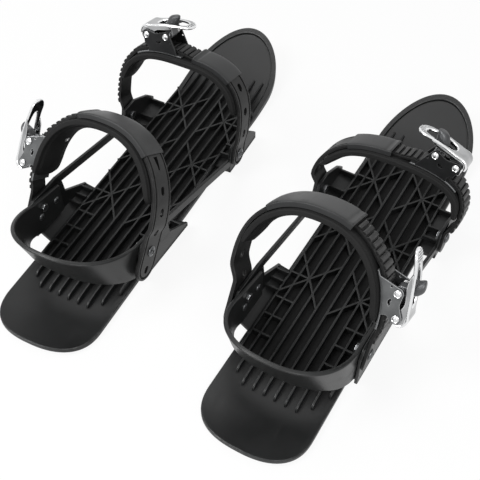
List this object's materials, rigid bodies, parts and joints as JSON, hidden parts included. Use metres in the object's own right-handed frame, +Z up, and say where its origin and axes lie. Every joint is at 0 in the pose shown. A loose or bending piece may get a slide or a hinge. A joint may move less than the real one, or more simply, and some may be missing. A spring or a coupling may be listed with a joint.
{
  "type": "pair of skiboards",
  "caption": "Pair of short black skiboards with ribbed decks, heel loops, and ankle and toe straps closed by chrome ratchet buckles.",
  "frame": {"origin": "centre of the pair's footprint on the ground", "axes": "+Y towards the tips, +Z up, +X to the wearer's right"},
  "size_m": [0.3832, 0.4414, 0.1485],
  "materials": {
    "deck_nylon": "satin moulded nylon",
    "loop_nylon": "satin moulded nylon, a little lighter",
    "strap_plastic": "flexible satin plastic",
    "liner_foam": "moulded foam",
    "cover_plastic": "satin moulded plastic",
    "ladder_plastic": "smooth toothed plastic",
    "buckle_steel": "dark nickel plate",
    "lever_chrome": "polished",
    "tab_grey": "satin grey plastic",
    "bolt_steel": "blackened steel",
    "pin_steel": "bright rivet",
    "spring_steel": "spring wire"
  },
  "bodies": {
    "boards": {"left_ankle_ladder_bolt": "bolt_steel", "left_ankle_strap_bolt": "bolt_steel", "left_deck": "deck_nylon", "left_heel_bolt_inner_front": "bolt_steel", "left_heel_bolt_inner_rear": "bolt_steel", "left_heel_bolt_outer_front": "bolt_steel", "left_heel_bolt_outer_rear": "bolt_steel", "left_heel_loop": "loop_nylon", "left_toe_ladder_bolt": "bolt_steel", "left_toe_strap_bolt": "bolt_steel", "right_ankle_ladder_bolt": "bolt_steel", "right_ankle_strap_bolt": "bolt_steel", "right_deck": "deck_nylon", "right_heel_bolt_inner_front": "bolt_steel", "right_heel_bolt_inner_rear": "bolt_steel", "right_heel_bolt_outer_front": "bolt_steel", "right_heel_bolt_outer_rear": "bolt_steel", "right_heel_loop": "loop_nylon", "right_toe_ladder_bolt": "bolt_steel", "right_toe_strap_bolt": "bolt_steel"},
    "left_ankle_binding": {"left_ankle_strap": "strap_plastic", "left_ankle_liner": "liner_foam", "left_ankle_cover": "cover_plastic", "left_ankle_ladder": "ladder_plastic", "left_ankle_buckle_base": "buckle_steel", "left_ankle_lever_pin": "pin_steel", "left_ankle_release_pin": "pin_steel", "left_ankle_return_spring": "spring_steel"},
    "left_ankle_lever_body": {"left_ankle_lever": "lever_chrome"},
    "left_ankle_tab_body": {"left_ankle_release_tab": "tab_grey"},
    "left_toe_binding": {"left_toe_strap": "strap_plastic", "left_toe_liner": "liner_foam", "left_toe_cover": "cover_plastic", "left_toe_ladder": "ladder_plastic", "left_toe_buckle_base": "buckle_steel", "left_toe_lever_pin": "pin_steel", "left_toe_release_pin": "pin_steel", "left_toe_return_spring": "spring_steel"},
    "left_toe_lever_body": {"left_toe_lever": "lever_chrome"},
    "left_toe_tab_body": {"left_toe_release_tab": "tab_grey"},
    "right_ankle_binding": {"right_ankle_strap": "strap_plastic", "right_ankle_liner": "liner_foam", "right_ankle_cover": "cover_plastic", "right_ankle_ladder": "ladder_plastic", "right_ankle_buckle_base": "buckle_steel", "right_ankle_lever_pin": "pin_steel", "right_ankle_release_pin": "pin_steel", "right_ankle_return_spring": "spring_steel"},
    "right_ankle_lever_body": {"right_ankle_lever": "lever_chrome"},
    "right_ankle_tab_body": {"right_ankle_release_tab": "tab_grey"},
    "right_toe_binding": {"right_toe_strap": "strap_plastic", "right_toe_liner": "liner_foam", "right_toe_cover": "cover_plastic", "right_toe_ladder": "ladder_plastic", "right_toe_buckle_base": "buckle_steel", "right_toe_lever_pin": "pin_steel", "right_toe_release_pin": "pin_steel", "right_toe_return_spring": "spring_steel"},
    "right_toe_lever_body": {"right_toe_lever": "lever_chrome"},
    "right_toe_tab_body": {"right_toe_release_tab": "tab_grey"}
  },
  "joints": [
    {"name": "left_ankle_swing", "type": "hinge", "parent": "boards", "child": "left_ankle_binding", "pos_m": [-0.10225, -0.11016, 0.0465], "axis": [0.9996, 0.0281, 0], "range_deg": [-6.5, 27.5]},
    {"name": "left_ankle_lever_pull", "type": "hinge", "parent": "left_ankle_binding", "child": "left_ankle_lever_body", "pos_m": [-0.17583, -0.09077, 0.07656], "axis": [0.0229, -0.8138, 0.5807], "range_deg": [0, 60]},
    {"name": "left_ankle_tab_press", "type": "hinge", "parent": "left_ankle_binding", "child": "left_ankle_tab_body", "pos_m": [-0.17408, -0.07888, 0.09316], "axis": [-0.0229, 0.8138, -0.5807], "range_deg": [0, 15], "stiffness_Nm_per_rad": 0.05, "springref_deg": -8.59},
    {"name": "left_toe_swing", "type": "hinge", "parent": "boards", "child": "left_toe_binding", "pos_m": [-0.1068, 0.05178, 0.024], "axis": [0.9996, 0.0281, 0], "range_deg": [-19.4, 20.6]},
    {"name": "left_toe_lever_pull", "type": "hinge", "parent": "left_toe_binding", "child": "left_toe_lever_body", "pos_m": [-0.14773, 0.07704, 0.11854], "axis": [0.0271, -0.9628, 0.2689], "range_deg": [0, 60]},
    {"name": "left_toe_tab_press", "type": "hinge", "parent": "left_toe_binding", "child": "left_toe_tab_body", "pos_m": [-0.12751, 0.07845, 0.12158], "axis": [-0.0271, 0.9628, -0.2689], "range_deg": [0, 15], "stiffness_Nm_per_rad": 0.05, "springref_deg": -8.59},
    {"name": "right_ankle_swing", "type": "hinge", "parent": "boards", "child": "right_ankle_binding", "pos_m": [0.10748, -0.11276, 0.0465], "axis": [0.9996, -0.0281, 0], "range_deg": [-13.1, 20.9]},
    {"name": "right_ankle_lever_pull", "type": "hinge", "parent": "right_ankle_binding", "child": "right_ankle_lever_body", "pos_m": [0.17939, -0.09365, 0.08476], "axis": [0.0246, 0.8751, -0.4833], "range_deg": [0, 60]},
    {"name": "right_ankle_tab_press", "type": "hinge", "parent": "right_ankle_binding", "child": "right_ankle_tab_body", "pos_m": [0.17495, -0.08388, 0.10222], "axis": [-0.0246, -0.8751, 0.4833], "range_deg": [0, 15], "stiffness_Nm_per_rad": 0.05, "springref_deg": -8.59},
    {"name": "right_toe_swing", "type": "hinge", "parent": "boards", "child": "right_toe_binding", "pos_m": [0.11203, 0.04918, 0.024], "axis": [0.9996, -0.0281, 0], "range_deg": [-16.6, 23.4]},
    {"name": "right_toe_lever_pull", "type": "hinge", "parent": "right_toe_binding", "child": "right_toe_lever_body", "pos_m": [0.16731, 0.07125, 0.09499], "axis": [0.0267, 0.9485, -0.3156], "range_deg": [0, 60]},
    {"name": "right_toe_tab_press", "type": "hinge", "parent": "right_toe_binding", "child": "right_toe_tab_body", "pos_m": [0.14737, 0.07325, 0.09931], "axis": [-0.0267, -0.9485, 0.3156], "range_deg": [0, 15], "stiffness_Nm_per_rad": 0.05, "springref_deg": -8.59}
  ]
}
